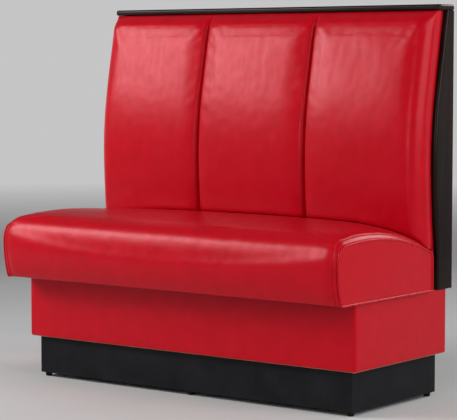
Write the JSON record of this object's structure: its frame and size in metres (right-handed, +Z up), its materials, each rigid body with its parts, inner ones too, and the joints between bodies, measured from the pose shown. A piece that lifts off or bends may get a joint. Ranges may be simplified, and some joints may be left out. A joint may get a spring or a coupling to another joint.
{
  "type": "booth seat",
  "caption": "Upholstered restaurant booth seat with a channelled back, dark end panels and top cap, boxed base, recessed toe kick, pull-out seat and levelling feet.",
  "frame": {"origin": "on the floor under the middle of the overall box", "axes": "+X towards the viewer's right seen from the front, the seat faces -Y, +Z up"},
  "size_m": [1.158, 0.562, 1.067],
  "materials": {
    "red_vinyl": "satin upholstery vinyl with a fine grain",
    "red_piping": "the same vinyl over cord",
    "stained_wood": "dark espresso stain under satin lacquer",
    "back_laminate": "dark laminate on plywood",
    "toe_kick_laminate": "black laminate on plywood",
    "nylon": "black nylon",
    "zinc_steel": "zinc plated",
    "black_screw": "black oxide",
    "spring_steel": "plain spring wire",
    "foam": "polyurethane foam",
    "felt": "needled felt",
    "dust_cloth": "thin non-woven cloth",
    "plywood": "birch plywood",
    "frame_wood": "plain sawn timber and plywood"
  },
  "bodies": {
    "frame": {"back_backer_board": "plywood", "back_cover": "red_vinyl", "back_foam_centre": "foam", "back_foam_left": "foam", "back_foam_right": "foam", "back_mid_rail": "frame_wood", "back_rib_inner_left": "plywood", "back_rib_inner_right": "plywood", "back_rib_left": "plywood", "back_rib_right": "plywood", "back_to_base_bolts": "zinc_steel", "back_top_rail": "frame_wood", "base_centre_divider": "frame_wood", "base_corner_blocks": "frame_wood", "base_cover": "red_vinyl", "base_deck": "plywood", "base_front_rail": "frame_wood", "base_left_rail": "frame_wood", "base_rear_rail": "frame_wood", "base_right_rail": "frame_wood", "end_panel_left": "stained_wood", "end_panel_right": "stained_wood", "frame_wood_screws": "zinc_steel", "outside_back_panel": "back_laminate", "outside_panel_screws": "black_screw", "plinth_corner_blocks": "frame_wood", "plinth_cross_brace": "frame_wood", "plinth_front_board": "toe_kick_laminate", "plinth_left_board": "toe_kick_laminate", "plinth_rear_board": "toe_kick_laminate", "plinth_right_board": "toe_kick_laminate", "seat_stop_rail": "frame_wood", "threaded_inserts": "zinc_steel", "top_cap": "stained_wood"},
    "seat": {"seat_boxing_left": "red_vinyl", "seat_boxing_right": "red_vinyl", "seat_cover": "red_vinyl", "seat_dust_cover": "dust_cloth", "seat_foam": "foam", "seat_front_rail": "frame_wood", "seat_left_rail": "frame_wood", "seat_rear_rail": "frame_wood", "seat_right_rail": "frame_wood", "seat_spring_clips": "zinc_steel", "seat_spring_pad": "felt", "seat_springs": "spring_steel", "seat_welt_left": "red_piping", "seat_welt_right": "red_piping"},
    "foot_front_left": {"foot_front_left_pad": "nylon", "foot_front_left_stud": "zinc_steel"},
    "foot_front_middle": {"foot_front_middle_pad": "nylon", "foot_front_middle_stud": "zinc_steel"},
    "foot_front_right": {"foot_front_right_pad": "nylon", "foot_front_right_stud": "zinc_steel"},
    "foot_rear_left": {"foot_rear_left_pad": "nylon", "foot_rear_left_stud": "zinc_steel"},
    "foot_rear_middle": {"foot_rear_middle_pad": "nylon", "foot_rear_middle_stud": "zinc_steel"},
    "foot_rear_right": {"foot_rear_right_pad": "nylon", "foot_rear_right_stud": "zinc_steel"}
  },
  "joints": [
    {"name": "seat_slide", "type": "slide", "parent": "frame", "child": "seat", "axis": [0, -1, 0], "range_m": [0, 0.4]},
    {"name": "foot_front_left_thread", "type": "slide", "parent": "frame", "child": "foot_front_left", "axis": [0, 0, -1], "range_m": [0, 0.012]},
    {"name": "foot_front_middle_thread", "type": "slide", "parent": "frame", "child": "foot_front_middle", "axis": [0, 0, -1], "range_m": [0, 0.012]},
    {"name": "foot_front_right_thread", "type": "slide", "parent": "frame", "child": "foot_front_right", "axis": [0, 0, -1], "range_m": [0, 0.012]},
    {"name": "foot_rear_left_thread", "type": "slide", "parent": "frame", "child": "foot_rear_left", "axis": [0, 0, -1], "range_m": [0, 0.012]},
    {"name": "foot_rear_middle_thread", "type": "slide", "parent": "frame", "child": "foot_rear_middle", "axis": [0, 0, -1], "range_m": [0, 0.012]},
    {"name": "foot_rear_right_thread", "type": "slide", "parent": "frame", "child": "foot_rear_right", "axis": [0, 0, -1], "range_m": [0, 0.012]}
  ]
}
